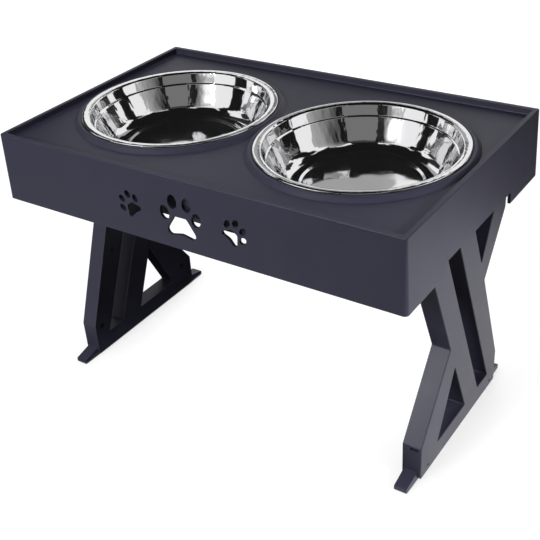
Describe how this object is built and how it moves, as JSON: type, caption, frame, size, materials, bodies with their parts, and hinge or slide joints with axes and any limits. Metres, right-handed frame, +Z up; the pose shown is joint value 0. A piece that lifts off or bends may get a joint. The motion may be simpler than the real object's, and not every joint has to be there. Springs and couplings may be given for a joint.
{
  "type": "elevated pet bowl stand",
  "caption": "Raised feeding stand: a lipped plastic tray with round steel bowls that lift out, on truss-shaped side legs that pull out of sockets under the tray.",
  "frame": {"origin": "on the floor under the centre of the tray", "axes": "+X along the tray's long side to the right, +Y to the back (the paw cut-outs face -Y), +Z up"},
  "size_m": [0.4516, 0.285, 0.298],
  "materials": {
    "slate_plastic": "fine moulded texture, dark slate",
    "polished_steel": "mirror-polished stainless steel",
    "black_rubber": "matt",
    "blackened_steel": "black zinc plating"
  },
  "bodies": {
    "tray": {"tray_shell": "slate_plastic", "socket_bracket_left": "slate_plastic", "socket_screws_left": "blackened_steel", "socket_bracket_right": "slate_plastic", "socket_screws_right": "blackened_steel"},
    "bowl_left": {"bowl_left": "polished_steel"},
    "bowl_right": {"bowl_right": "polished_steel"},
    "leg_left": {"leg_left_shell": "slate_plastic", "leg_left_cover": "slate_plastic", "leg_left_screws": "blackened_steel", "foot_bar_left": "slate_plastic", "foot_pads_left": "black_rubber"},
    "leg_right": {"leg_right_shell": "slate_plastic", "leg_right_cover": "slate_plastic", "leg_right_screws": "blackened_steel", "foot_bar_right": "slate_plastic", "foot_pads_right": "black_rubber"}
  },
  "joints": [
    {"name": "bowl_left_lift", "type": "slide", "parent": "tray", "child": "bowl_left", "axis": [0, 0, 1], "range_m": [0, 0.08]},
    {"name": "bowl_right_lift", "type": "slide", "parent": "tray", "child": "bowl_right", "axis": [0, 0, 1], "range_m": [0, 0.08]},
    {"name": "leg_left_pull", "type": "slide", "parent": "tray", "child": "leg_left", "axis": [0, 0, -1], "range_m": [0, 0.07]},
    {"name": "leg_right_pull", "type": "slide", "parent": "tray", "child": "leg_right", "axis": [0, 0, -1], "range_m": [0, 0.07]}
  ]
}
